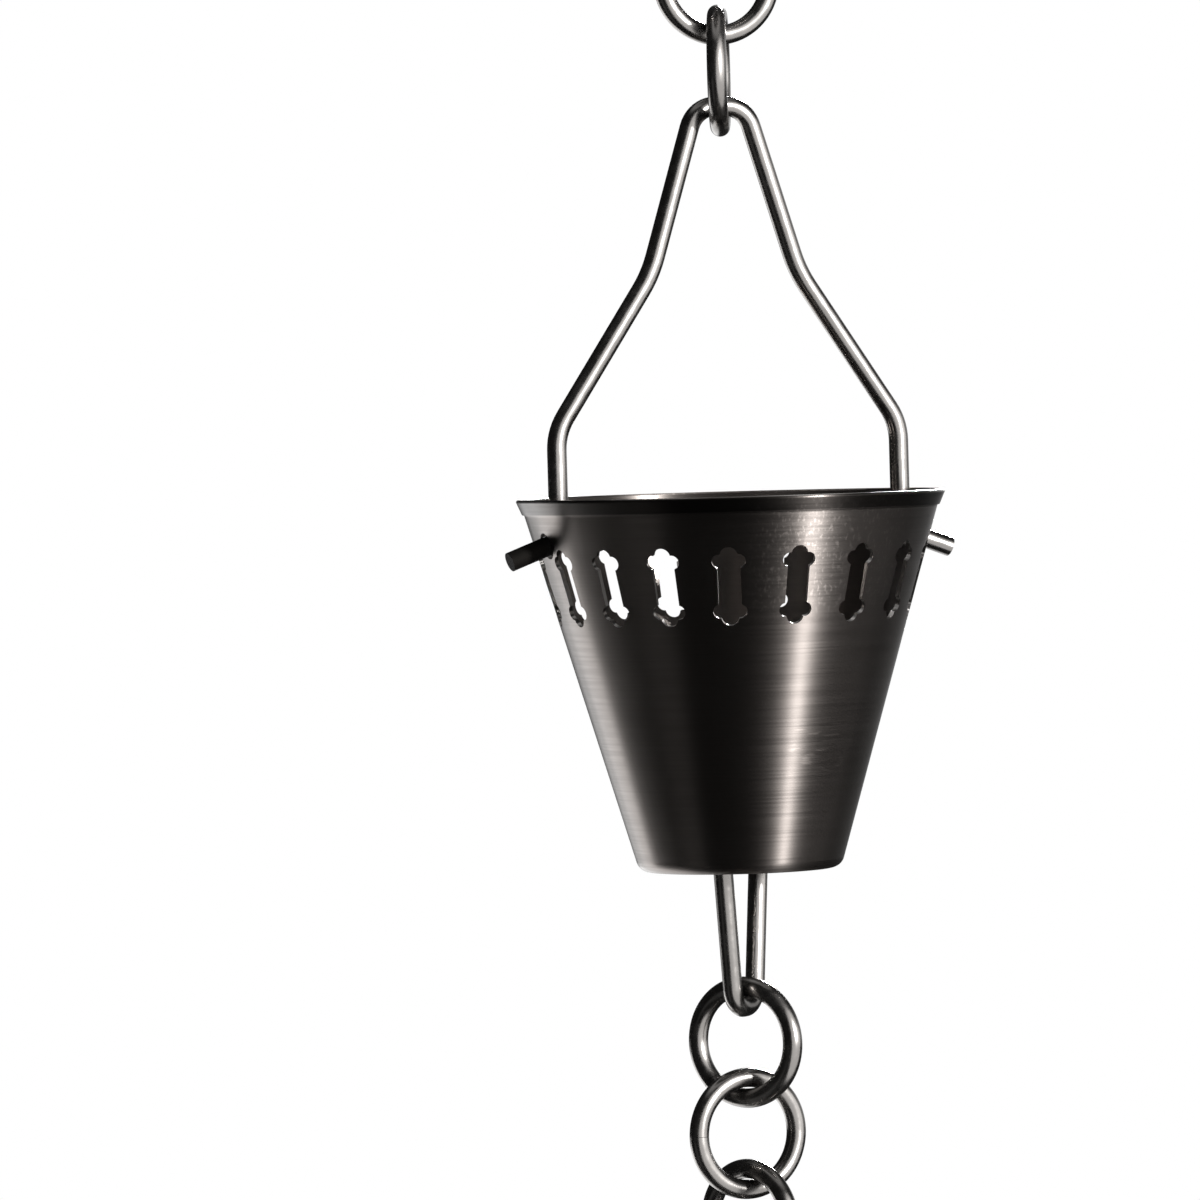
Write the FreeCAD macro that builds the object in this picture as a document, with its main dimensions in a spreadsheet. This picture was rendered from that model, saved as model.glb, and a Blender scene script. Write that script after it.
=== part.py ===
"""A rain chain: three pierced metal cups, one below the other, hung on wire bails and split rings.

Every piece hangs straight below the gutter hook on the Z axis, and each one is turned about that axis
as it happens to hang. The hook's arms rest on the gutter floor at Z = 0.
"""

import FreeCAD, Part
import math
import os

import Sketcher

# Driving sizes, in millimetres and degrees.
SIZES = {
    "wire_dia": 4.0,
    "link_gap": 0.25,
    "ring_radius": 11.5,
    "seam_gap": 0.08,
    "hook_drop": 40.0,
    "hook_reach": 55.0,
    "loop_drop": 28.3,
    "loop_reach": 16.5,
    "loop_nose_bend": 4.4,
    "arm_bend": 3.5,
    "bail_height": 79.4,
    "bail_nose_flat": 1.0,
    "bail_nose_bend": 6.0,
    "shoulder_half": 16.25,
    "shoulder_drop": 34.1,
    "shoulder_bend": 26.0,
    "elbow_drop": 65.7,
    "elbow_bend": 12.0,
    "pin_bend": 3.6,
    "pin_depth": 9.3,
    "pin_droop": 20.0,
    "pin_reach": 8.6,
    "pin_clearance": 0.8,
    "cup_height": 77.0,
    "rim_radius": 44.2,
    "lip_height": 3.5,
    "hem": 0.5,
    "hem_height": 3.2,
    "crease_radius": 42.3,
    "base_radius": 20.7,
    "base_bend": 2.8,
    "wall": 0.9,
    "rim_round": 0.5,
    "drain_radius": 11.5,
    "cutout_depth": 10.15,
    "cutout_length": 16.55,
    "cutout_waist": 4.7,
    "first_cutout_turn": -23.0,
    "left_cutouts": 8,
    "left_pitch": 19.78,
    "right_cutouts": 8,
    "right_pitch": 21.0,
    "end_lobe_radius": 1.8,
    "side_lobe_radius": 1.5,
    "side_lobe_half": 1.95,
    "side_lobe_inset": 3.0,
    "shoulder_inset": 2.0,
}

# Sizes that follow from the driving ones.
DERIVED = {
    "wire_radius": "Sizes.wire_dia / 2",
    "link_step": "Sizes.wire_dia + Sizes.link_gap",
    "ring_pitch": "2 * Sizes.ring_radius - link_step",
    "ring_sweep": "360 - Sizes.seam_gap / Sizes.ring_radius * 180 / pi",
    "loop_nose_half": "Sizes.loop_nose_bend",
    "arm_half": "Sizes.drain_radius - Sizes.arm_bend",
    "hook_rise": "Sizes.hook_drop + wire_radius",
    "loop_rise": "Sizes.loop_drop + Sizes.wall + Sizes.link_gap + wire_radius",
    "bail_lean": "atan((Sizes.shoulder_half - Sizes.bail_nose_bend) / Sizes.shoulder_drop) / 1 deg",
    "bail_nose_half": "Sizes.bail_nose_flat + Sizes.bail_nose_bend * tan(45 - bail_lean / 2)",
    "wall_slope": "(Sizes.crease_radius - Sizes.base_radius) / (Sizes.cup_height - Sizes.lip_height)",
    "wall_lean": "atan(wall_slope) / 1 deg",
    "half_wall_across": "Sizes.wall / 2 / cos(wall_lean)",
    "lip_radius": "Sizes.rim_radius - Sizes.hem",
    "lip_slope": "(lip_radius - Sizes.crease_radius) / Sizes.lip_height",
    "lip_lean": "atan(lip_slope) / 1 deg",
    "lip_inner_radius": "lip_radius - Sizes.wall / cos(lip_lean)",
    "hem_foot_radius": "Sizes.crease_radius + Sizes.hem",
    "hem_root_radius": "Sizes.crease_radius + (Sizes.lip_height - Sizes.hem_height) * lip_slope",
    "crease_offset": "Sizes.wall / (1 + cos(lip_lean - wall_lean))",
    "crease_inner_radius": "Sizes.crease_radius - crease_offset * (cos(lip_lean) + cos(wall_lean))",
    "crease_inner_depth": "Sizes.lip_height - crease_offset * (sin(lip_lean) + sin(wall_lean))",
    "floor_depth": "Sizes.cup_height - Sizes.wall",
    "base_inner_radius": "Sizes.base_radius + Sizes.wall * wall_slope - 2 * half_wall_across",
    "inner_bend": "Sizes.base_bend - Sizes.wall",
    "pin_below_crease": "Sizes.pin_depth - Sizes.lip_height",
    "pin_wall_radius": "Sizes.crease_radius - pin_below_crease * wall_slope - half_wall_across",
    "leg_half": "pin_wall_radius - Sizes.pin_bend * tan(45 - Sizes.pin_droop / 2) * cos(Sizes.pin_droop)",
    "pin_drop": "Sizes.bail_height + Sizes.pin_depth",
    "pin_corner_drop": "pin_drop - (pin_wall_radius - leg_half) * tan(Sizes.pin_droop)",
    "pin_length": "Sizes.wall / 2 + Sizes.pin_reach",
    "pin_tip_half": "pin_wall_radius + pin_length * cos(Sizes.pin_droop)",
    "pin_tip_drop": "pin_drop + pin_length * sin(Sizes.pin_droop)",
    "pin_hole_radius": "wire_radius + Sizes.pin_clearance",
    "cut_through": "8 * Sizes.wall",
    "cutout_middle": "Sizes.cutout_depth + Sizes.cutout_length / 2 * cos(wall_lean)",
    "cutout_wall_radius": "Sizes.crease_radius - (cutout_middle - Sizes.lip_height) * wall_slope",
    "left_row": "Sizes.left_cutouts + 1",
    "right_row": "Sizes.right_cutouts + 1",
    "waist_half": "Sizes.cutout_waist / 2",
    "waist_end": "Sizes.cutout_length / 2 - Sizes.shoulder_inset",
    "end_lobe_centre": "Sizes.cutout_length / 2 - Sizes.end_lobe_radius",
    "side_lobe_centre": "Sizes.cutout_length / 2 - Sizes.side_lobe_inset",
}

# How far each link is turned about the Z axis, in degrees, from the hook down. A ring's seam is at an
# angle round the ring, where 180 is its left side and 270 its lowest point.
HOOK_TURN = 21
UNITS = (
    {"rings": (-75, 19, -43), "seams": (180, 160, 200), "bail": 38, "loop": 17},
    {"rings": (-74, 17, -92), "seams": (150, 190, 180), "bail": 22, "loop": 62},
    {"rings": (-33, 30, -45), "seams": (225, 180, 170), "bail": 47, "loop": 28},
)
TAIL_RINGS = (-64, 25)
TAIL_SEAMS = (200, 170)

# Corners of a cup's sheet, cut through its axis, by radius and depth below the rim. A corner without
# a radius is on the axis, and one without a depth is at the rim.
SECTION = (
    ("mouth", "lip_inner_radius", None),
    ("rim", "rim_radius", None),
    ("hem_foot", "hem_foot_radius", "hem_height"),
    ("hem_root", "hem_root_radius", "hem_height"),
    ("crease", "crease_radius", "lip_height"),
    ("base", "base_radius", "cup_height"),
    ("underside", None, "cup_height"),
    ("floor", None, "floor_depth"),
    ("floor_edge", "base_inner_radius", "floor_depth"),
    ("inner_crease", "crease_inner_radius", "crease_inner_depth"),
)

# The lobes of a cut-out: one at the middle of each end, and one on each side of it.
LOBES = {"end": {"middle": 0}, "side": {"left": -1, "right": 1}}
RING_LETTERS = "abc"

UPRIGHT = FreeCAD.Vector(0, 0, 1)
ACROSS = FreeCAD.Vector(1, 0, 0)
ORIGIN = FreeCAD.Vector(0, 0, 0)
PLANE_UP = FreeCAD.Vector(0, 1, 0)
SAME_LEVEL = 1e-4

# How a sketch numbers its axes and the points of a line, an arc or a circle.
ACROSS_AXIS, UP_AXIS = -1, -2
START, END, CENTRE = 1, 2, 3
ROOT = (ACROSS_AXIS, START)

doc = FreeCAD.newDocument("rain_chain")


def fill_sheet(name, cells):
    """A spreadsheet with one named value to a row."""
    sheet = doc.addObject("Spreadsheet::Sheet", name)
    for row, (alias, content) in enumerate(cells.items(), start=1):
        sheet.set(f"A{row}", alias)
        sheet.set(f"B{row}", content)
        sheet.setAlias(f"B{row}", alias)
    return sheet


sizes_sheet = fill_sheet("Sizes", {name: str(value) for name, value in SIZES.items()})
doc.recompute()
derived_sheet = fill_sheet("Derived", {name: "=" + formula for name, formula in DERIVED.items()})
doc.recompute()


def cell(name):
    """The expression that reads a named size."""
    return f"Sizes.{name}" if name in SIZES else f"Derived.{name}"


def size(name):
    """The present value of a named size."""
    return float(sizes_sheet.get(name) if name in SIZES else derived_sheet.get(name))


def bind(thing, **properties):
    """Tie properties of a feature to named sizes."""
    for prop, name in properties.items():
        thing.setExpression(prop, cell(name))


def origin_feature(body, role):
    """A plane or axis of the body's own origin."""
    return next(f for f in body.Origin.OriginFeatures if f.Role == role)


def lay_on(thing, plane):
    """Attach a sketch or a plane flat to another plane."""
    thing.AttachmentSupport = [(plane, "")]
    thing.MapMode = "FlatFace"


def new_sketch(body, name, plane):
    """An empty sketch on a plane of the body, which is given by its role if it is an origin plane."""
    sketch = body.newObject("Sketcher::SketchObject", name)
    lay_on(sketch, origin_feature(body, plane) if isinstance(plane, str) else plane)
    return sketch


def constrain(sketch, kind, *place):
    """Add a constraint that has no size."""
    sketch.addConstraint(Sketcher.Constraint(kind, *place))


def dimension(sketch, label, kind, *place, by):
    """Add a dimension to a sketch and tie it to a named size."""
    index = sketch.addConstraint(Sketcher.Constraint(kind, *place, size(by)))
    sketch.renameConstraint(index, label)
    sketch.setExpression(f"Constraints.{label}", cell(by))


def join_lines(sketch, points):
    """Straight lines from each point to the next, one for each pair."""
    return [sketch.addGeometry(Part.LineSegment(a, b)) for a, b in zip(points, points[1:])]


def closed_outline(sketch, points):
    """Straight lines round a closed outline, joined end to end."""
    lines = join_lines(sketch, points + points[:1])
    for line, following in zip(lines, lines[1:] + lines[:1]):
        constrain(sketch, "Coincident", line, END, following, START)
    return lines


def centred_circle(sketch, radius):
    """A circle about the sketch's origin."""
    circle = sketch.addGeometry(Part.Circle(ORIGIN, UPRIGHT, size(radius)))
    constrain(sketch, "Coincident", circle, CENTRE, *ROOT)
    dimension(sketch, "radius", "Radius", circle, by=radius)


def place_point(sketch, label, geometry, position, half, height, up):
    """Dimension a point from the sketch's origin, with its height above or below it."""
    point = (geometry, position)
    dimension(sketch, f"{label}_half", "DistanceX", *ROOT, *point, by=half)
    low, high = (ROOT, point) if up else (point, ROOT)
    dimension(sketch, f"{label}_height", "DistanceY", *low, *high, by=height)


def draw_path(sketch, corners, tip, up):
    """Straight runs from the sketch's origin to a tip, with a tangent bend at each corner.

    A corner is its half width, height and bend radius by name. The first run is level, so the
    first corner has no height.
    """
    sign = 1 if up else -1
    points = [ORIGIN, FreeCAD.Vector(size(corners[0][0]), 0, 0)]
    for half, height, *_ in (*corners[1:], tip):
        points.append(FreeCAD.Vector(size(half), sign * size(height), 0))

    starts, ends, arcs = [points[0]], [], []
    for number, (_, _, bend) in enumerate(corners, start=1):
        corner = points[number]
        back = (points[number - 1] - corner).normalize()
        ahead = (points[number + 1] - corner).normalize()
        half_angle = back.getAngle(ahead) / 2
        radius = size(bend)
        reach = radius / math.tan(half_angle)
        centre = corner + (back + ahead).normalize() * (radius / math.sin(half_angle))
        ends.append(corner + back * reach)
        starts.append(corner + ahead * reach)
        left_turn = back.cross(ahead).z < 0
        first, last = (ends[-1], starts[-1]) if left_turn else (starts[-1], ends[-1])
        angles = [math.atan2(p.y - centre.y, p.x - centre.x) for p in (first, last)]
        arc = Part.ArcOfCircle(Part.Circle(centre, UPRIGHT, radius), *angles)
        arcs.append((arc, (START, END) if left_turn else (END, START)))
    ends.append(points[-1])

    runs = [sketch.addGeometry(Part.LineSegment(a, b)) for a, b in zip(starts, ends)]
    constrain(sketch, "Coincident", runs[0], START, *ROOT)
    constrain(sketch, "Horizontal", runs[0])
    for number, ((arc, (entry, leave)), (half, height, bend)) in enumerate(zip(arcs, corners)):
        curve = sketch.addGeometry(arc)
        before, after = runs[number], runs[number + 1]
        constrain(sketch, "Tangent", before, END, curve, entry)
        constrain(sketch, "Tangent", curve, leave, after, START)
        dimension(sketch, f"bend_{number}", "Radius", curve, by=bend)
        mark = sketch.addGeometry(Part.Point(points[number + 1]), True)
        constrain(sketch, "PointOnObject", mark, START, before)
        constrain(sketch, "PointOnObject", mark, START, after)
        if height is None:
            dimension(sketch, f"corner_{number}_half", "DistanceX", *ROOT, mark, START, by=half)
        else:
            place_point(sketch, f"corner_{number}", mark, START, half, height, up)
    place_point(sketch, "tip", runs[-1], END, *tip, up)


def bent_wire(name, corners, tip, up):
    """A round wire bent in one plane, alike on both sides of its nose, which is at its own origin."""
    body = doc.addObject("PartDesign::Body", name)
    section = new_sketch(body, f"{name}_section", "YZ_Plane")
    centred_circle(section, "wire_radius")
    path = new_sketch(body, f"{name}_path", "XZ_Plane")
    draw_path(path, corners, tip, up)
    doc.recompute()
    half = body.newObject("PartDesign::AdditivePipe", f"{name}_half")
    half.Profile = section
    half.Spine = (path, [f"Edge{n}" for n in range(1, len(path.Shape.Edges) + 1)])
    doc.recompute()
    whole = body.newObject("PartDesign::Mirrored", f"{name}_whole")
    whole.Originals = [half]
    whole.MirrorPlane = (origin_feature(body, "YZ_Plane"), [""])
    body.Tip = whole
    doc.recompute()
    return body


def make_hook():
    """The gutter hook, whose long arms lie across the outlet of the gutter."""
    corners = [("loop_nose_half", None, "loop_nose_bend"), ("arm_half", "hook_rise", "arm_bend")]
    return bent_wire("gutter_hook", corners, ("hook_reach", "hook_rise"), up=True)


def make_loop(name):
    """The loop under a cup, whose short arms lie on the cup's floor on each side of the drain."""
    corners = [("loop_nose_half", None, "loop_nose_bend"), ("arm_half", "loop_rise", "arm_bend")]
    return bent_wire(name, corners, ("loop_reach", "loop_rise"), up=True)


def make_bail(name):
    """The bail of a cup, whose ends are turned out through the wall as pins."""
    corners = [
        ("bail_nose_half", None, "bail_nose_bend"),
        ("shoulder_half", "shoulder_drop", "shoulder_bend"),
        ("leg_half", "elbow_drop", "elbow_bend"),
        ("leg_half", "pin_corner_drop", "pin_bend"),
    ]
    return bent_wire(name, corners, ("pin_tip_half", "pin_tip_drop"), up=False)


def make_ring(name):
    """A ring of round wire whose ends meet at a butt seam."""
    ring = doc.addObject("Part::Torus", name)
    bind(ring, Radius1="ring_radius", Radius2="wire_radius", Angle3="ring_sweep")
    return ring


def turn_solid(body, name, sketch):
    """Turn a section about the cup's axis and add it to the body."""
    turned = body.newObject("PartDesign::Revolution", name)
    turned.Profile = sketch
    turned.ReferenceAxis = (sketch, ["V_Axis"])
    doc.recompute()
    return turned


def sheet_section(body, name):
    """The section of a cup's sheet, with its rim at Z = 0 and the hem folded down outside its lip."""
    sketch = new_sketch(body, f"{name}_section", "XZ_Plane")
    corners = []
    for _, radius, depth in SECTION:
        corners.append(FreeCAD.Vector(size(radius) if radius else 0, -size(depth) if depth else 0, 0))
    for line, (label, radius, depth) in zip(closed_outline(sketch, corners), SECTION):
        corner = (line, START)
        if radius:
            dimension(sketch, f"{label}_radius", "DistanceX", *ROOT, *corner, by=radius)
        else:
            constrain(sketch, "PointOnObject", *corner, UP_AXIS)
        if depth:
            dimension(sketch, f"{label}_depth", "DistanceY", *corner, *ROOT, by=depth)
        else:
            constrain(sketch, "PointOnObject", *corner, ACROSS_AXIS)
    return sketch


def edges_at(feature, height):
    """Names of the round edges of a feature at one height."""
    names = []
    for number, edge in enumerate(feature.Shape.Edges, start=1):
        box = edge.BoundBox
        if max(abs(box.ZMin - height), abs(box.ZMax - height)) < SAME_LEVEL:
            names.append(f"Edge{number}")
    return names


def round_edges(body, name, base, height, radius):
    """Round the edges of a feature at one height."""
    rounded = body.newObject("PartDesign::Fillet", name)
    rounded.Base = (base, edges_at(base, height))
    bind(rounded, Radius=radius)
    doc.recompute()
    return rounded


def cup_shell(body, name):
    """A cup of even sheet, open at its rim, with a rounded foot and a hemmed lip."""
    sheet = turn_solid(body, f"{name}_sheet", sheet_section(body, name))
    footed = round_edges(body, f"{name}_foot", sheet, -size("cup_height"), "base_bend")
    lined = round_edges(body, f"{name}_floor_bend", footed, -size("floor_depth"), "inner_bend")
    return round_edges(body, f"{name}_rim", lined, 0, "rim_round")


def wall_sketch(body, name, plane, depth, radius):
    """A sketch that lies on the sloping wall, centred at one depth below the rim.

    The plane stands through the cup's axis and faces that part of the wall.
    """
    sketch = new_sketch(body, name, plane)
    place = FreeCAD.Vector(0, -size(depth), size(radius))
    sketch.AttachmentOffset = FreeCAD.Placement(place, FreeCAD.Rotation(ACROSS, size("wall_lean")))
    sketch.setExpression("AttachmentOffset.Base.y", f"-{cell(depth)}")
    sketch.setExpression("AttachmentOffset.Base.z", cell(radius))
    sketch.setExpression("AttachmentOffset.Rotation.Angle", cell("wall_lean"))
    return sketch


def pierce(body, name, sketch):
    """Cut a sketch through the wall that it lies on, and no further."""
    before = body.Shape.Volume
    cut = body.newObject("PartDesign::Pocket", name)
    cut.Profile = sketch
    cut.Midplane = True
    bind(cut, Length="cut_through")
    doc.recompute()
    if body.Shape.Volume >= before:
        raise RuntimeError(f"{name} cuts nothing")
    return cut


def round_hole(sketch, label, x, y, radius):
    """A circle at signed named distances from the sketch's origin."""
    middle = FreeCAD.Vector(x[0] * size(x[1]), y[0] * size(y[1]), 0)
    circle = sketch.addGeometry(Part.Circle(middle, UPRIGHT, size(radius)))
    dimension(sketch, f"{label}_radius", "Radius", circle, by=radius)
    centre = (circle, CENTRE)
    for kind, axis, (sign, distance) in (("DistanceX", UP_AXIS, x), ("DistanceY", ACROSS_AXIS, y)):
        if sign == 0:
            constrain(sketch, "PointOnObject", *centre, axis)
        else:
            first, last = (ROOT, centre) if sign > 0 else (centre, ROOT)
            dimension(sketch, f"{label}_{kind}", kind, *first, *last, by=distance)


def front_plane(body, name):
    """A plane through the cup's axis that faces the first cut-out."""
    plane = body.newObject("PartDesign::Plane", f"{name}_front")
    lay_on(plane, origin_feature(body, "XZ_Plane"))
    turn = FreeCAD.Rotation(PLANE_UP, size("first_cutout_turn"))
    plane.AttachmentOffset = FreeCAD.Placement(ORIGIN, turn)
    plane.setExpression("AttachmentOffset.Rotation.Angle", cell("first_cutout_turn"))
    doc.recompute()
    return plane


def cut_slot(body, name, front):
    """The straight middle of the first cut-out."""
    sketch = wall_sketch(body, f"{name}_waist", front, "cutout_middle", "cutout_wall_radius")
    half, end = size("waist_half"), size("waist_end")
    corners = [FreeCAD.Vector(x * half, y * end, 0) for x, y in ((-1, -1), (1, -1), (1, 1), (-1, 1))]
    bottom, right, top, left = closed_outline(sketch, corners)
    for level in (bottom, top):
        constrain(sketch, "Horizontal", level)
    for upright in (right, left):
        constrain(sketch, "Vertical", upright)
    constrain(sketch, "Symmetric", bottom, START, top, START, *ROOT)
    place_point(sketch, "corner", top, START, "waist_half", "waist_end", up=True)
    doc.recompute()
    return pierce(body, f"{name}_slot", sketch)


def cut_lobes(body, name, front, kind):
    """The round lobes of one kind at both ends of the first cut-out."""
    label = f"{name}_{kind}_lobe_circles"
    sketch = wall_sketch(body, label, front, "cutout_middle", "cutout_wall_radius")
    for row, up in (("low", -1), ("high", 1)):
        for place, side in LOBES[kind].items():
            centre = (side, "side_lobe_half"), (up, f"{kind}_lobe_centre")
            round_hole(sketch, f"{row}_{place}", *centre, f"{kind}_lobe_radius")
    doc.recompute()
    return pierce(body, f"{name}_{kind}_lobes", sketch)


def cut_pattern(body, name):
    """The row of cut-outs, struck from the first one to the left and to the right round the wall.

    The two sides were set out apart, so their pitch differs, and a plain strip is left behind.
    """
    front = front_plane(body, name)
    cuts = [cut_slot(body, name, front)]
    cuts += [cut_lobes(body, name, front, kind) for kind in LOBES]
    for side in ("left", "right"):
        row = body.newObject("PartDesign::PolarPattern", f"{name}_{side}_row")
        row.Originals = cuts
        row.Axis = (origin_feature(body, "Z_Axis"), [""])
        row.Mode = "Spacing"
        row.Reversed = side == "left"
        bind(row, Offset=f"{side}_pitch", Occurrences=f"{side}_row")
        body.Tip = row
        doc.recompute()


def cut_pin_holes(body, name):
    """The two holes for the bail's pins, one on each side of the cup."""
    sketch = wall_sketch(body, f"{name}_pin_circle", "YZ_Plane", "pin_depth", "pin_wall_radius")
    centred_circle(sketch, "pin_hole_radius")
    doc.recompute()
    hole = pierce(body, f"{name}_pin_hole", sketch)
    pair = body.newObject("PartDesign::Mirrored", f"{name}_pin_holes")
    pair.Originals = [hole]
    pair.MirrorPlane = (origin_feature(body, "YZ_Plane"), [""])
    body.Tip = pair
    doc.recompute()


def cut_drain(body, name):
    """The round drain in the floor."""
    sketch = new_sketch(body, f"{name}_drain_circle", "XY_Plane")
    centred_circle(sketch, "drain_radius")
    doc.recompute()
    drain = body.newObject("PartDesign::Pocket", f"{name}_drain")
    drain.Profile = sketch
    drain.Type = "ThroughAll"
    doc.recompute()


def make_cup(name):
    """A cup: a thin tapered shell with a hemmed lip, a drain, pin holes and a row of cut-outs."""
    body = doc.addObject("PartDesign::Body", name)
    cup_shell(body, name)
    cut_drain(body, name)
    cut_pin_holes(body, name)
    cut_pattern(body, name)
    return body


def make_clone(name, pattern):
    """Another piece of the same make as the one given."""
    body = doc.addObject("PartDesign::Body", name)
    copy = body.newObject("PartDesign::FeatureBase", f"{name}_clone")
    copy.BaseFeature = pattern
    body.Tip = copy
    doc.recompute()
    return body


def hang(piece, turn, above, drop, stand=None):
    """Place a piece below another one and turn it about the Z axis.

    The drop is an expression in named sizes. stand turns the piece upright before that.
    """
    rotation = FreeCAD.Rotation(UPRIGHT, turn)
    if stand:
        rotation = rotation.multiply(stand)
    piece.Placement = FreeCAD.Placement(ORIGIN, rotation)
    level = f"{above.Name}.Placement.Base.z - " if above else "-"
    piece.setExpression("Placement.Base.z", f"{level}({drop}) * 1 mm")


NOSE_AND_RING = f"{cell('ring_radius')} - {cell('link_step')}"
RING_TO_RING = cell("ring_pitch")
BAIL_TO_CUP = cell("bail_height")
CUP_TO_LOOP = f"{cell('cup_height')} + {cell('loop_drop')}"


def hang_rings(number, turns, seams, nose):
    """A run of rings, the first one hung in the nose of a hook or loop."""
    rings = []
    above, drop = nose, NOSE_AND_RING
    for letter, turn, seam in zip(RING_LETTERS, turns, seams):
        ring = make_ring(f"ring_{number}{letter}")
        upright = FreeCAD.Rotation(ACROSS, 90).multiply(FreeCAD.Rotation(UPRIGHT, seam))
        hang(ring, turn, above, drop, stand=upright)
        rings.append(ring)
        above, drop = ring, RING_TO_RING
    return rings


def build_chain():
    """Every piece of the chain, from the hook down."""
    hook = make_hook()
    hang(hook, HOOK_TURN, None, cell("hook_drop"))
    pieces = [hook]
    first_cup = make_cup("cup_1")
    nose = hook
    for number, unit in enumerate(UNITS, start=1):
        rings = hang_rings(number, unit["rings"], unit["seams"], nose)
        bail = make_bail(f"bail_{number}")
        hang(bail, unit["bail"], rings[-1], NOSE_AND_RING)
        cup = first_cup if number == 1 else make_clone(f"cup_{number}", first_cup)
        hang(cup, unit["bail"], bail, BAIL_TO_CUP)
        loop = make_loop(f"loop_{number}")
        hang(loop, unit["loop"], cup, CUP_TO_LOOP)
        pieces += [*rings, bail, cup, loop]
        nose = loop
    pieces += hang_rings(len(UNITS) + 1, TAIL_RINGS, TAIL_SEAMS, nose)
    doc.recompute()
    return pieces


def check(pieces):
    """Stop if a feature failed or a piece isn't one sound solid."""
    for feature in doc.Objects:
        if {"Invalid", "Error"} & set(feature.State):
            raise RuntimeError(f"{feature.Name} failed: {feature.State}")
    for piece in pieces:
        shape = piece.Shape
        if shape.isNull() or not shape.isValid() or len(shape.Solids) != 1:
            raise RuntimeError(f"{piece.Label} isn't one valid solid")


def write(pieces):
    """Save each piece under its own name."""
    os.makedirs("parts", exist_ok=True)
    for piece in pieces:
        piece.Shape.exportStep(f"parts/{piece.Label}.step")
        box = piece.Shape.BoundBox
        print(f"{piece.Label}: {piece.Shape.Volume:.1f} mm3, z {box.ZMin:.2f} to {box.ZMax:.2f}")


chain = build_chain()
check(chain)
write(chain)
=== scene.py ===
"""Looks of a rain chain: cups of brushed sheet and links of drawn wire, both in black nickel.

Every piece keeps its CAD shape and place. The script dresses the pieces, hangs them in a pale studio
whose panels and lamps the metal mirrors, and looks at the second cup from a little above its rim.
"""

import logging
import math
from dataclasses import dataclass
from enum import Enum

import bpy
from mathutils import Matrix, Vector


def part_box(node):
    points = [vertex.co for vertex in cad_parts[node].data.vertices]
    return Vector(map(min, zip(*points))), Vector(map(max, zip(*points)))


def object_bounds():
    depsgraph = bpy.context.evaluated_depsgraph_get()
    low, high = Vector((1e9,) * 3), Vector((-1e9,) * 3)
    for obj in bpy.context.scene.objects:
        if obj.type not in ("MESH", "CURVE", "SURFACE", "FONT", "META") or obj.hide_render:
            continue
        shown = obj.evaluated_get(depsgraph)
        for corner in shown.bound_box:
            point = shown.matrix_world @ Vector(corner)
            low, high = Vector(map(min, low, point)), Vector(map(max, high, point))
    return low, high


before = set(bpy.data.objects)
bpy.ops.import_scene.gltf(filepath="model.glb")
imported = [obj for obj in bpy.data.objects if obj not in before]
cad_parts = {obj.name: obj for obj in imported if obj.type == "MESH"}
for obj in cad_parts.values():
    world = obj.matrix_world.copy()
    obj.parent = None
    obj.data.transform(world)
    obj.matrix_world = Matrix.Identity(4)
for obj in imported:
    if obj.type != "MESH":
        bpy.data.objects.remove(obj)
CAD_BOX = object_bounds()

LOG = logging.getLogger("rain_chain")

Colour = tuple[float, float, float]
Point = tuple[float, float, float]
Socket = bpy.types.NodeSocket
Span = tuple[float, float]

# The wall of a cup, in metres: a cone from the crease below the lip down to the base.
CREASE_RADIUS = 0.0423
BASE_RADIUS = 0.0207
CUP_HEIGHT = 0.077
LIP_HEIGHT = 0.0035
WALL_LEAN = math.atan((CREASE_RADIUS - BASE_RADIUS) / (CUP_HEIGHT - LIP_HEIGHT))

LEVEL_PART = (1.0, 1.0, 0.0)
WHITE = (1.0, 1.0, 1.0, 1.0)
WHOLE: Span = (0.0, 1.0)


class Slot(Enum):
    """The two metals of the chain, by their names in the record."""

    CUP = "cup_metal"
    WIRE = "wire_metal"


class Wear(Enum):
    """Kinds of rub mark on a cup's wall, by the noise cells to the metre across it and up it."""

    SPECKS = (1900.0, 800.0)
    SCRATCHES = (160.0, 1500.0)


class Ray(Enum):
    """Kinds of light ray that the studio tells apart."""

    CAMERA = "Is Camera Ray"
    GLOSSY = "Is Glossy Ray"
    TRANSMISSION = "Is Transmission Ray"


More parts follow.
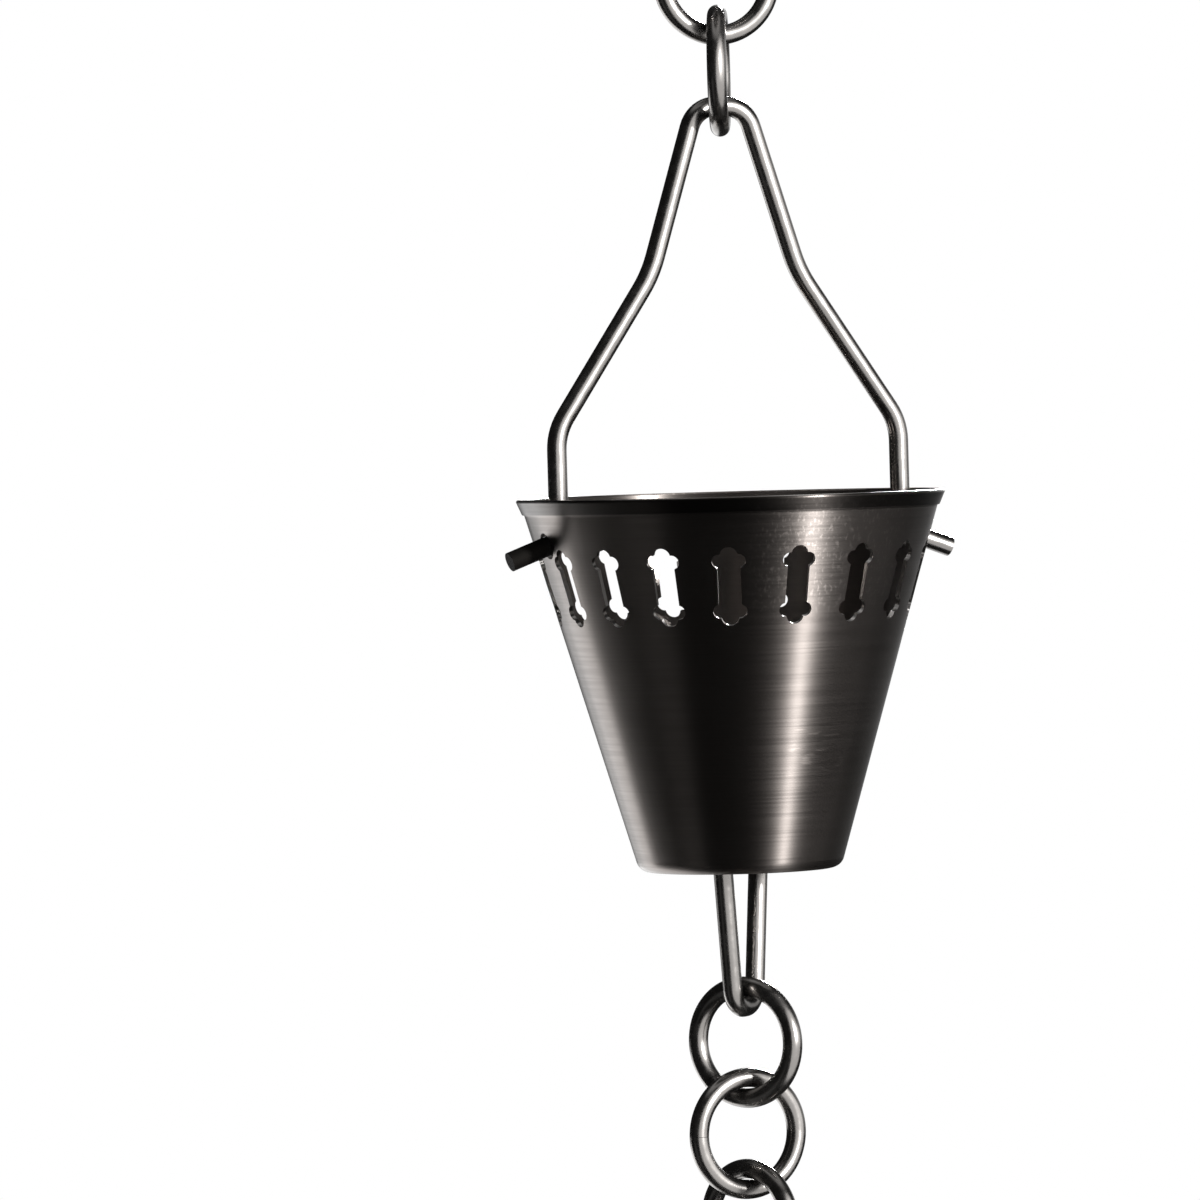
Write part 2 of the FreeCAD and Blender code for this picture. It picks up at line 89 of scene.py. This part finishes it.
class Graph:
    """A node tree while it is being put together."""

    def __init__(self, tree: bpy.types.NodeTree) -> None:
        """Start from an empty tree."""
        self.tree = tree
        tree.nodes.clear()

    def add(self, kind: str, **settings: object) -> bpy.types.Node:
        """Add a node.

        Args:
            kind: The node's type.
            settings: Properties of the node, by name.

        Returns:
            The new node.
        """
        node = self.tree.nodes.new(kind)
        for name, value in settings.items():
            setattr(node, name, value)
        return node

    def feed(self, socket: Socket, value: object) -> None:
        """Link a socket to another one, or set it to a plain value.

        Args:
            socket: The socket that is fed.
            value: The other socket, or a number, vector or colour.
        """
        if isinstance(value, bpy.types.NodeSocket):
            self.tree.links.new(value, socket)
        else:
            socket.default_value = value

    def calculate(self, kind: str, operation: str, values: tuple[object, ...]) -> bpy.types.Node:
        """Add a node that works something out.

        Args:
            kind: The node's type.
            operation: What it works out.
            values: What goes into it, in order.

        Returns:
            The new node.
        """
        node = self.add(kind, operation=operation)
        for socket, value in zip(node.inputs, values):
            self.feed(socket, value)
        return node

    def maths(self, operation: str, *values: object) -> Socket:
        """The result of a sum on numbers."""
        return self.calculate("ShaderNodeMath", operation, values).outputs["Value"]

    def vector_maths(self, operation: str, *values: object, out: str = "Vector") -> Socket:
        """The result of a sum on vectors."""
        return self.calculate("ShaderNodeVectorMath", operation, values).outputs[out]

    def dot(self, first: object, second: object) -> Socket:
        """The dot product of two vectors."""
        return self.vector_maths("DOT_PRODUCT", first, second, out="Value")

    def level(self, vector: Socket) -> Socket:
        """A vector without its upright part."""
        return self.vector_maths("MULTIPLY", vector, LEVEL_PART)

    def radial(self, vector: Socket) -> Socket:
        """The level direction from the chain's axis to a point, of unit length."""
        return self.vector_maths("NORMALIZE", self.level(vector))

    def height(self, vector: Socket) -> Socket:
        """The upright part of a vector.

        Args:
            vector: The vector.

        Returns:
            Its Z.
        """
        node = self.add("ShaderNodeSeparateXYZ")
        self.feed(node.inputs["Vector"], vector)
        return node.outputs["Z"]

    def ease(self, value: Socket, span: Span, low: object = 0.0, high: object = 1.0) -> Socket:
        """A smooth step from one value to another.

        Args:
            value: The socket that is measured.
            span: The readings at which the step starts and ends.
            low: The result before the step.
            high: The result after it.

        Returns:
            The eased value.
        """
        start, end = span
        node = self.add("ShaderNodeMapRange", interpolation_type="SMOOTHSTEP")
        settings = {"Value": value, "From Min": start, "From Max": end, "To Min": low, "To Max": high}
        for name, setting in settings.items():
            self.feed(node.inputs[name], setting)
        return node.outputs["Result"]

    def noise(self, place: Socket, cells: Point, detail: float, offset: Point = (0.0, 0.0, 0.0)) -> Socket:
        """Soft noise over a stretched space.

        Args:
            place: The coordinates, in metres.
            cells: Cells to the metre along each axis.
            detail: Octaves of finer noise.
            offset: A shift of the pattern, in cells.

        Returns:
            The noise, about 0.5.
        """
        node = self.add("ShaderNodeTexNoise")
        self.feed(node.inputs["Vector"], self.vector_maths("MULTIPLY_ADD", place, cells, offset))
        self.feed(node.inputs["Scale"], 1.0)
        self.feed(node.inputs["Detail"], detail)
        return node.outputs["Fac"]

    def blend(self, factor: object, first: object, second: object, mode: str = "MIX") -> Socket:
        """Mix two colours.

        Args:
            factor: The share of the second colour.
            first: The first colour.
            second: The second colour.
            mode: The way that they are mixed.

        Returns:
            The mixed colour.
        """
        node = self.add("ShaderNodeMix", data_type="RGBA", blend_type=mode)
        for name, value in {"Factor_Float": factor, "A_Color": first, "B_Color": second}.items():
            socket = next(item for item in node.inputs if item.identifier == name)
            self.feed(socket, (*value, 1.0) if isinstance(value, tuple) else value)
        return next(item for item in node.outputs if item.identifier == "Result_Color")

    def shade(self, colour: object, factor: Socket) -> Socket:
        """Make a colour lighter or darker.

        Args:
            colour: The colour.
            factor: What it is multiplied by.

        Returns:
            The new colour.
        """
        grey = self.add("ShaderNodeCombineColor")
        for socket in grey.inputs:
            self.feed(socket, factor)
        return self.blend(1.0, colour, grey.outputs["Color"], mode="MULTIPLY")

    def relief(self, height: Socket, strength: float, depth: float) -> Socket:
        """Small relief on a surface.

        Args:
            height: How high the surface stands.
            strength: How much of the relief shows.
            depth: Its depth, in metres.

        Returns:
            The direction that the surface then faces.
        """
        node = self.add("ShaderNodeBump")
        for name, value in {"Strength": strength, "Distance": depth, "Height": height}.items():
            self.feed(node.inputs[name], value)
        return node.outputs["Normal"]

    def metal(self, colour: Socket, roughness: Socket, normal: Socket) -> bpy.types.Node:
        """Add bare metal and put it on the surface.

        Args:
            colour: Its colour.
            roughness: Its roughness.
            normal: The direction that it faces.

        Returns:
            The metal's node.
        """
        node = self.add("ShaderNodeBsdfPrincipled")
        settings = {"Metallic": 1.0, "Base Color": colour, "Roughness": roughness, "Normal": normal}
        for name, value in settings.items():
            self.feed(node.inputs[name], value)
        self.show(node.outputs["BSDF"])
        return node

    def show(self, shader: Socket, out: str = "ShaderNodeOutputMaterial") -> None:
        """Put a shader on the tree's output."""
        self.feed(self.add(out).inputs["Surface"], shader)


def new_material(name: str) -> tuple[bpy.types.Material, Graph]:
    """Start a material.

    Args:
        name: Its name.

    Returns:
        The material and its empty tree.
    """
    material = bpy.data.materials.new(name)
    material.use_nodes = True
    return material, Graph(material.node_tree)


def shaded(colour: Colour, factor: float) -> Colour:
    """A colour made lighter or darker by a factor."""
    return tuple(channel * factor for channel in colour)


def bearing(turn: float, rise: float = 0.0) -> Point:
    """The way to a point of the studio.

    Args:
        turn: Degrees from the front of the chain, positive to the right.
        rise: Degrees above the horizon.

    Returns:
        The unit vector from the chain to that point.
    """
    turn, rise = math.radians(turn), math.radians(rise)
    return math.sin(turn) * math.cos(rise), -math.cos(turn) * math.cos(rise), math.sin(rise)


@dataclass(frozen=True)
class WornPatch:
    """A patch of a cup's wall with rub marks: where it is and how far it reaches.

    Its turn and half-width are degrees about the cup's axis, anticlockwise from above, from the +X
    side. Its depth below the rim and its half-height are metres. Its core is the share of the
    half-height that is marked in full.
    """

    turn: float
    depth: float
    half_width: float
    half_height: float
    wear: Wear
    core: float = 0.4


@dataclass(frozen=True)
class ShadowedEnd:
    """A wire end painted black as a painted shadow: its middle and reach, in metres, and the share that is
    all black.
    """

    middle: Point
    reach: float
    core: float = 0.85


@dataclass(frozen=True)
class DrawnWire:
    """Drawn wire under black nickel, with faint stains and one end painted black as a painted shadow.

    Cells are counted to the metre, along X, Y and Z. Spans are readings of the noise between which a
    change is eased, and pairs of tones and roughness are its two ends.
    """

    painted_shadow_end: ShadowedEnd
    # painted shadow: the near-black colour and high roughness that the shadowed pin end is painted with
    black: Colour = (0.006, 0.0055, 0.005)
    shadow_roughness: float = 0.8

    tone: Colour = (0.145, 0.138, 0.132)
    stain_cells: Point = (46.667, 46.667, 46.667)
    stain_detail: float = 3.0
    stain_span: Span = (0.35, 0.7)
    stain_tones: Span = (0.86, 1.08)

    mottle_cells: Point = (420.0, 420.0, 420.0)
    mottle_detail: float = 4.0
    mottle_span: Span = (0.3, 0.75)
    mottle_roughness: Span = (0.21, 0.30)

    grain_cells: Point = (2600.0, 2600.0, 2600.0)
    grain_detail: float = 1.0
    grain_strength: float = 0.03
    grain_depth: float = 0.00004

    def material(self) -> bpy.types.Material:
        """Make the wire's material.

        Returns:
            The material.
        """
        material, graph = new_material(Slot.WIRE.value)
        place = graph.add("ShaderNodeTexCoord").outputs["Object"]
        mottle = graph.noise(place, self.mottle_cells, self.mottle_detail)
        grain = graph.noise(place, self.grain_cells, self.grain_detail)
        stain = graph.noise(place, self.stain_cells, self.stain_detail)

        # painted shadow: the left pin end of the second bail is painted black, as if in the cup's shadow
        away = graph.vector_maths("DISTANCE", place, self.painted_shadow_end.middle, out="Value")
        reach = self.painted_shadow_end.reach
        unshadowed = graph.ease(away, (self.painted_shadow_end.core * reach, reach))
        dark, pale = (shaded(self.tone, factor) for factor in self.stain_tones)
        colour = graph.blend(graph.ease(stain, self.stain_span), dark, pale)
        colour = graph.blend(unshadowed, self.black, colour)
        rough = graph.ease(mottle, self.mottle_span, *self.mottle_roughness)
        rough = graph.ease(unshadowed, WHOLE, self.shadow_roughness, rough)
        graph.metal(colour, rough, graph.relief(grain, self.grain_strength, self.grain_depth))
        return material


@dataclass(frozen=True)
class BrushedSheet:
    """Sheet brushed round the cup under black nickel, with bare cut edges, a few rub marks and painted
    shade on its hem.

    Cells are counted to the metre, along X, Y and Z. Spans are readings between which a change is
    eased, and pairs of tones and roughness are its two ends. Heights and depths are metres.
    """

    tone: Colour = (0.132, 0.118, 0.1095)
    anisotropy: float = 0.88
    brush_turn: float = 0.25

    brush_cells: Point = (34.0, 34.0, 2400.0)
    brush_detail: float = 3.0
    brush_span: Span = (0.3, 0.7)
    brush_tones: Span = (0.97, 1.03)
    brush_roughness: Span = (0.355, 0.305)
    fine_cells: Point = (90.0, 90.0, 7000.0)
    fine_detail: float = 1.0
    fine_share: float = 0.5
    brush_strength: float = 0.015
    brush_depth: float = 0.00004

    bloom_cells: Point = (38.0, 38.0, 26.0)
    bloom_detail: float = 3.0
    bloom_span: Span = (0.3, 0.75)
    bloom_tones: Span = (0.86, 1.10)

    rub_detail: float = 2.0
    rub_offset: Point = (7.0, 3.0, 0.0)
    rub_span: Span = (0.54, 0.70)
    rub_share: float = 0.28
    rub_tone: float = 1.7
    rub_roughness: float = 0.05

    # Sizes of the painted shade on the outside of the hem.
    hem_height: float = 0.0033
    hem_fade: float = 0.0004
    hem_shade: float = 0.3
    outside_span: Span = (-0.004, 0.004)

    edge_tone: Colour = (0.25, 0.24, 0.232)
    edge_span: Span = (0.3, 0.6)
    flat_span: Span = (0.97, 0.99)

    def material(self, name: str, rim: float, patches: tuple[WornPatch, ...]) -> bpy.types.Material:
        """Make the material of one cup.

        Args:
            name: The cup's name.
            rim: The height of its rim, in metres.
            patches: Where its wall is rubbed.

        Returns:
            The material.
        """
        material, graph = new_material(f"{Slot.CUP.value}.{name}")
        coordinates = graph.add("ShaderNodeTexCoord").outputs
        place, normal = coordinates["Object"], coordinates["Normal"]
        brush = graph.noise(place, self.brush_cells, self.brush_detail)
        fine = graph.noise(place, self.fine_cells, self.fine_detail)
        bloom = graph.noise(place, self.bloom_cells, self.bloom_detail)
        rubs = self.rub_marks(graph, place, rim, patches)

        lines = graph.ease(brush, self.brush_span, *self.brush_tones)
        cloud = graph.ease(bloom, self.bloom_span, *self.bloom_tones)
        colour = graph.shade(self.tone, graph.maths("MULTIPLY", lines, cloud))
        rub_share = graph.maths("MULTIPLY", rubs, self.rub_share)
        colour = graph.blend(rub_share, colour, shaded(self.tone, self.rub_tone))
        # painted shade: the outside of the hem is darkened in the colour, where it faces down
        colour = graph.shade(colour, self.painted_hem_shade(graph, place, normal, rim))
        colour = graph.blend(self.cut_edges(graph, place, normal), colour, self.edge_tone)

        rough = graph.ease(brush, self.brush_span, *self.brush_roughness)
        rough = graph.maths("MULTIPLY_ADD", rubs, self.rub_roughness, rough)
        height = graph.maths("MULTIPLY_ADD", fine, self.fine_share, brush)
        relief = graph.relief(height, self.brush_strength, self.brush_depth)

        metal = graph.metal(colour, rough, relief)
        tangent = graph.add("ShaderNodeTangent", direction_type="RADIAL", axis="Z")
        graph.feed(metal.inputs["Tangent"], tangent.outputs["Tangent"])
        graph.feed(metal.inputs["Anisotropic"], self.anisotropy)
        graph.feed(metal.inputs["Anisotropic Rotation"], self.brush_turn)
        return material

    def painted_hem_shade(self, graph: Graph, place: Socket, normal: Socket, rim: float) -> Socket:
        """Painted shade on the outside of the hem, where it faces down.

        Args:
            graph: The tree that is being built.
            place: Coordinates, in metres.
            normal: The direction that the surface faces, in the same frame.
            rim: The height of the rim.

        Returns:
            A factor for the sheet's tone.
        """
        foot = rim - self.hem_height
        shade = graph.ease(graph.height(place), (foot, foot + self.hem_fade), 1.0, self.hem_shade)
        outward = graph.dot(graph.level(place), normal)
        return graph.ease(outward, self.outside_span, 1.0, shade)

    def cut_edges(self, graph: Graph, place: Socket, normal: Socket) -> Socket:
        """Where the sheet's bare thickness shows, inside the cut-outs.

        Args:
            graph: The tree that is being built.
            place: Coordinates, in metres.
            normal: The direction that the surface faces, in the same frame.

        Returns:
            1 on a cut edge and 0 on the wall.
        """
        lean, drop = (math.cos(WALL_LEAN),) * 3, (0.0, 0.0, -math.sin(WALL_LEAN))
        outward = graph.vector_maths("MULTIPLY_ADD", graph.radial(place), lean, drop)
        facing = graph.maths("ABSOLUTE", graph.dot(outward, normal))
        edge = graph.ease(facing, self.edge_span, 1.0, 0.0)
        flatness = graph.maths("ABSOLUTE", graph.height(normal))
        upright = graph.ease(flatness, self.flat_span, 1.0, 0.0)
        return graph.maths("MULTIPLY", edge, upright)

    def rub_marks(
        self, graph: Graph, place: Socket, rim: float, patches: tuple[WornPatch, ...]
    ) -> Socket | float:
        """Pale specks and short scratches inside the worn patches.

        Args:
            graph: The tree that is being built.
            place: Coordinates, in metres.
            rim: The height of the rim.
            patches: The worn patches.

        Returns:
            The strength of the marks, from 0 to 1.
        """
        radial, height = graph.radial(place), graph.height(place)
        strongest = 0.0
        for patch in patches:
            across_cells, up_cells = patch.wear.value
            cells = (across_cells, across_cells, up_cells)
            marks = graph.ease(graph.noise(place, cells, self.rub_detail, self.rub_offset), self.rub_span)
            turn = math.radians(patch.turn)
            side = graph.dot(radial, (math.cos(turn), math.sin(turn), 0.0))
            border = math.cos(math.radians(patch.half_width))
            across = graph.ease(side, (border, (1.0 + border) / 2))
            away = graph.maths("ABSOLUTE", graph.maths("SUBTRACT", height, rim - patch.depth))
            along = graph.ease(away, (patch.half_height, patch.core * patch.half_height))
            worn = graph.maths("MULTIPLY", marks, graph.maths("MULTIPLY", across, along))
            strongest = graph.maths("MAXIMUM", strongest, worn)
        return strongest


def put_on(piece: bpy.types.Object, material: bpy.types.Material, sharp: float) -> None:
    """Dress a piece in one material, shaded smooth except at its sharp edges.

    Args:
        piece: The piece.
        material: Its material.
        sharp: The angle from which an edge stays sharp, in radians.
    """
    piece.data.materials.clear()
    piece.data.materials.append(material)
    piece.data.shade_smooth()
    piece.data.set_sharp_from_angle(angle=sharp)


@dataclass
class WireLinks:
    """Hook, loops, bails and rings: every link that is bent from wire."""

    nodes: list[str]
    finish: DrawnWire
    sharp: float = math.radians(40.0)

    def dress(self) -> None:
        """Give every wire the same finish and smooth bends."""
        material = self.finish.material()
        for name in self.nodes:
            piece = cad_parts[name]
            put_on(piece, material, self.sharp)
            LOG.info("%s: drawn wire", name)


@dataclass
class Cup:
    """One pierced cup.

    Its wall is a plain cone between two depths below the rim, in metres, and a facet belongs to the
    wall if it faces within a small angle of the cone.
    """

    node: str
    finish: BrushedSheet
    patches: tuple[WornPatch, ...]
    sharp: float = math.radians(25.0)
    wall_top: float = 0.0036
    wall_foot: float = 0.0738
    wall_facets: float = math.radians(9.0)

    def dress(self) -> None:
        """Give the cup its brushed finish."""
        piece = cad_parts[self.node]
        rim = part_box(self.node)[1].z
        put_on(piece, self.finish.material(self.node, rim, self.patches), self.sharp)
        self.smooth_wall(piece.data, rim)
        LOG.info("%s: brushed sheet, rim at %.3f m", self.node, rim)

    def smooth_wall(self, mesh: bpy.types.Mesh, rim: float) -> None:
        """Shade the facets of the wall as the cone that they stand for.

        Args:
            mesh: The cup's mesh.
            rim: The height of the rim.
        """
        lean, drop = math.cos(WALL_LEAN), Vector((0.0, 0.0, -math.sin(WALL_LEAN)))
        near = math.cos(self.wall_facets)
        normals = [corner.vector.copy() for corner in mesh.corner_normals]
        for face in mesh.polygons:
            places = [mesh.vertices[index].co for index in face.vertices]
            if not all(self.wall_top < rim - place.z < self.wall_foot for place in places):
                continue
            for corner, place in zip(face.loop_indices, places):
                outward = Vector((place.x, place.y, 0.0)).normalized() * lean + drop
                side = outward.dot(face.normal)
                if abs(side) > near:
                    normals[corner] = outward * math.copysign(1.0, side)
        mesh.normals_split_custom_set(normals)


@dataclass(frozen=True)
class Panel:
    """A panel of the studio as the metal sees it.

    Its turn is in degrees from the front of the chain, positive to the right, and so are its
    half-width and its soft edge. Its lower and upper ends are sines of their angles above the horizon.
    """

    turn: float
    half_width: float
    edge: float
    low: float
    high: float
    brightness: float


@dataclass(frozen=True)
class DistantLamp:
    """A distant lamp, hard or soft by its spread, that lights the pieces of some metals alone.

    Its turn is in degrees from the front of the chain, positive to the right. Its rise above the
    horizon and its spread are in degrees too.
    """

    name: str
    turn: float
    rise: float
    strength: float
    spread: float
    metals: tuple[Slot, ...]

    def build(self) -> None:
        """Hang the lamp and aim it at the chain."""
        lamp = bpy.data.lights.new(self.name, "SUN")
        lamp.energy = self.strength
        lamp.angle = math.radians(self.spread)
        holder = bpy.data.objects.new(self.name, lamp)
        aim = -Vector(bearing(self.turn, self.rise))
        holder.rotation_euler = aim.to_track_quat("-Z", "Y").to_euler()
        holder.visible_camera = False
        bpy.context.scene.collection.objects.link(holder)
        holder.light_linking.receiver_collection = self.lit_pieces()

    def lit_pieces(self) -> bpy.types.Collection:
        """Gather the pieces that the lamp lights.

        Returns:
            A collection of the dressed pieces of its metals.
        """
        lit = bpy.data.collections.new(f"{self.name}_lights")
        names = tuple(slot.value for slot in self.metals)
        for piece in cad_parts.values():
            if piece.data.materials[0].name.startswith(names):
                lit.objects.link(piece)
        return lit


@dataclass
class Studio:
    """A pale floor, a white background, and panels and lamps round a chain that hangs in the middle.

    Lengths are metres. The fade of a panel's ends is a sine, as its ends are.
    """

    panels: tuple[Panel, ...]
    lamps: tuple[DistantLamp, ...]
    panel_fade: float = 0.08
    gloom: float = 0.026
    fill: float = 0.6
    floor_gap: float = 0.05
    floor_half: float = 30.0
    floor_tone: Colour = (0.86, 0.86, 0.855)
    floor_glow: float = 0.72
    shadow_core: float = 0.27
    shadow_reach: float = 0.9
    overhead_height: float = 2.2
    overhead_size: float = 2.0
    overhead_power: float = 160.0

    def build(self) -> None:
        """Make the world, the floor and the lamps."""
        self.light_world()
        self.lay_floor()
        self.hang_overhead()
        for lamp in self.lamps:
            lamp.build()

    def light_world(self) -> None:
        """White for the camera, the panels for the metal and an even fill for the floor."""
        world = bpy.data.worlds.new("studio")
        world.use_nodes = True
        bpy.context.scene.world = world
        graph = Graph(world.node_tree)
        rays = graph.add("ShaderNodeLightPath").outputs
        direction = graph.add("ShaderNodeTexCoord").outputs["Generated"]
        mirrored = self.gloom
        for panel in self.panels:
            mirrored = graph.maths("ADD", mirrored, self.panel_light(graph, direction, panel))
        seen = graph.maths("MAXIMUM", rays[Ray.CAMERA.value], rays[Ray.TRANSMISSION.value])
        light = graph.ease(rays[Ray.GLOSSY.value], WHOLE, self.fill, mirrored)
        light = graph.ease(seen, WHOLE, light, 1.0)
        background = graph.add("ShaderNodeBackground")
        graph.feed(background.inputs["Color"], WHITE)
        graph.feed(background.inputs["Strength"], light)
        graph.show(background.outputs["Background"], out="ShaderNodeOutputWorld")

    def panel_light(self, graph: Graph, direction: Socket, panel: Panel) -> Socket:
        """The brightness of one panel.

        Args:
            graph: The world's tree.
            direction: The way that the ray goes.
            panel: The panel.

        Returns:
            Its brightness along that way.
        """
        side = graph.dot(graph.radial(direction), bearing(panel.turn))
        outer = math.cos(math.radians(panel.half_width + panel.edge))
        inner = math.cos(math.radians(max(panel.half_width - panel.edge, 0.0)))
        across = graph.ease(side, (outer, inner))
        height = graph.height(direction)
        above = graph.ease(height, (panel.low - self.panel_fade, panel.low + self.panel_fade))
        below = graph.ease(height, (panel.high + self.panel_fade, panel.high - self.panel_fade))
        lit = graph.maths("MULTIPLY", across, graph.maths("MULTIPLY", above, below))
        return graph.maths("MULTIPLY", lit, panel.brightness)

    def lay_floor(self) -> None:
        """A pale floor below the lowest ring, which keeps the chain's soft shadow."""
        half, level = self.floor_half, CAD_BOX[0].z - self.floor_gap
        corners = [(-half, -half, level), (half, -half, level), (half, half, level), (-half, half, level)]
        mesh = bpy.data.meshes.new("floor")
        mesh.from_pydata(corners, [], [range(len(corners))])
        mesh.materials.append(self.floor_paint())
        floor = bpy.data.objects.new("floor", mesh)
        floor.visible_glossy = False
        floor.visible_shadow = False
        bpy.context.scene.collection.objects.link(floor)

    def floor_paint(self) -> bpy.types.Material:
        """Make the floor's paint, which the camera sees fade to white away from the chain.

        Returns:
            The material.
        """
        material, graph = new_material("pale_floor")
        paint = graph.add("ShaderNodeBsdfDiffuse")
        graph.feed(paint.inputs["Color"], (*self.floor_tone, 1.0))
        glow = graph.add("ShaderNodeEmission")
        place = graph.add("ShaderNodeTexCoord").outputs["Object"]
        away = graph.vector_maths("LENGTH", graph.level(place), out="Value")
        share = graph.ease(away, (self.shadow_core, self.shadow_reach), self.floor_glow, 1.0)
        camera = graph.add("ShaderNodeLightPath").outputs[Ray.CAMERA.value]
        mix = graph.add("ShaderNodeMixShader")
        values = (graph.maths("MULTIPLY", camera, share), paint.outputs["BSDF"], glow.outputs["Emission"])
        for socket, value in zip(mix.inputs, values):
            graph.feed(socket, value)
        graph.show(mix.outputs["Shader"])
        return material

    def hang_overhead(self) -> None:
        """One broad soft lamp overhead, for the floor and its shadow."""
        lamp = bpy.data.lights.new("overhead", "AREA")
        lamp.shape = "SQUARE"
        lamp.size = self.overhead_size
        lamp.energy = self.overhead_power
        holder = bpy.data.objects.new("overhead", lamp)
        holder.location = (0.0, 0.0, self.overhead_height)
        holder.visible_camera = False
        holder.visible_glossy = False
        bpy.context.scene.collection.objects.link(holder)


@dataclass
class Viewpoint:
    """The camera, in front of the chain and a little above the second cup's rim.

    Its lengths are metres, apart from the sensor's width, which is in millimetres.
    """

    rim: float
    distance: float = 1.79
    above_rim: float = 0.023
    view_width: float = 0.2459
    chain_right: float = 0.0273
    centre_below_rim: float = 0.021
    lean: float = math.radians(-1.6)
    sensor: float = 36.0

    def build(self) -> None:
        """Make the camera and look through it."""
        camera = bpy.data.cameras.new("viewpoint")
        camera.sensor_width = self.sensor
        camera.lens = self.sensor * self.distance / self.view_width
        holder = bpy.data.objects.new("viewpoint", camera)
        bpy.context.scene.collection.objects.link(holder)
        eye = Vector((0.0, -self.distance, self.rim + self.above_rim))
        target = Vector((-self.chain_right, 0.0, self.rim - self.centre_below_rim))
        aim = (target - eye).to_track_quat("-Z", "Y").to_matrix().to_4x4()
        holder.matrix_world = Matrix.Translation(eye) @ aim @ Matrix.Rotation(self.lean, 4, "Z")
        bpy.context.scene.camera = holder


# Two low panels behind on the left, a faint low one in front on the left, two at the horizon on the
# right, and the ceiling.
PANELS = (
    Panel(turn=-130.0, half_width=12.0, edge=4.0, low=-0.85, high=-0.16, brightness=3.9),
    Panel(turn=-158.0, half_width=16.0, edge=4.0, low=-0.85, high=-0.16, brightness=2.2),
    Panel(turn=-56.0, half_width=10.0, edge=8.0, low=-0.80, high=-0.20, brightness=0.155),
    Panel(turn=67.0, half_width=34.0, edge=16.0, low=-0.06, high=0.28, brightness=2.0),
    Panel(turn=140.0, half_width=38.0, edge=10.0, low=-0.06, high=0.28, brightness=0.77),
    Panel(turn=0.0, half_width=170.0, edge=10.0, low=0.85, high=1.20, brightness=1.0),
)

ALL_METALS = tuple(Slot)
LAMPS = (
    DistantLamp("key", turn=48.0, rise=12.5, strength=12.0, spread=4.0, metals=ALL_METALS),
    DistantLamp("behind", turn=170.0, rise=20.0, strength=6.6, spread=4.0, metals=ALL_METALS),
    DistantLamp("softbox", turn=46.0, rise=-5.0, strength=5.0, spread=104.0, metals=(Slot.WIRE,)),
)

CUP_PATCHES = {
    "cup_1": (
        WornPatch(turn=-40.0, depth=0.020, half_width=30.0, half_height=0.016, wear=Wear.SPECKS),
    ),
    "cup_2": (
        WornPatch(turn=-58.0, depth=0.012, half_width=30.0, half_height=0.016, wear=Wear.SPECKS),
        WornPatch(turn=-52.0, depth=0.052, half_width=18.0, half_height=0.007, wear=Wear.SCRATCHES),
    ),
    "cup_3": (
        WornPatch(turn=-120.0, depth=0.045, half_width=30.0, half_height=0.014, wear=Wear.SCRATCHES),
    ),
}

# The left pin of the second bail, painted black as a painted shadow: its turn about the axis from the +X
# side, then its sizes in metres.
SHADOWED_PIN_TURN = math.radians(202.0)
SHADOWED_PIN_OUT = 0.0455
SHADOWED_PIN_BELOW_RIM = 0.0105
SHADOWED_PIN_REACH = 0.0080


def painted_shadow_pin(rim: float) -> ShadowedEnd:
    """Find the end of the second bail that is painted black as a painted shadow.

    Args:
        rim: The height of the second cup's rim.

    Returns:
        The end with the painted shadow.
    """
    across, back = SHADOWED_PIN_OUT * math.cos(SHADOWED_PIN_TURN), SHADOWED_PIN_OUT * math.sin(SHADOWED_PIN_TURN)
    return ShadowedEnd(middle=(across, back, rim - SHADOWED_PIN_BELOW_RIM), reach=SHADOWED_PIN_REACH)


def main() -> None:
    """Dress the chain's wires and cups, then light them and set the camera."""
    logging.basicConfig(level=logging.INFO, format="%(name)s: %(message)s")
    bpy.context.scene.view_settings.view_transform = "Standard"
    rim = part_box("cup_2")[1].z
    wires = [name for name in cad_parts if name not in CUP_PATCHES]
    WireLinks(nodes=wires, finish=DrawnWire(painted_shadow_end=painted_shadow_pin(rim))).dress()
    for name, patches in CUP_PATCHES.items():
        Cup(node=name, finish=BrushedSheet(), patches=patches).dress()
    Studio(panels=PANELS, lamps=LAMPS).build()
    Viewpoint(rim=rim).build()


if __name__ == "__main__":
    main()
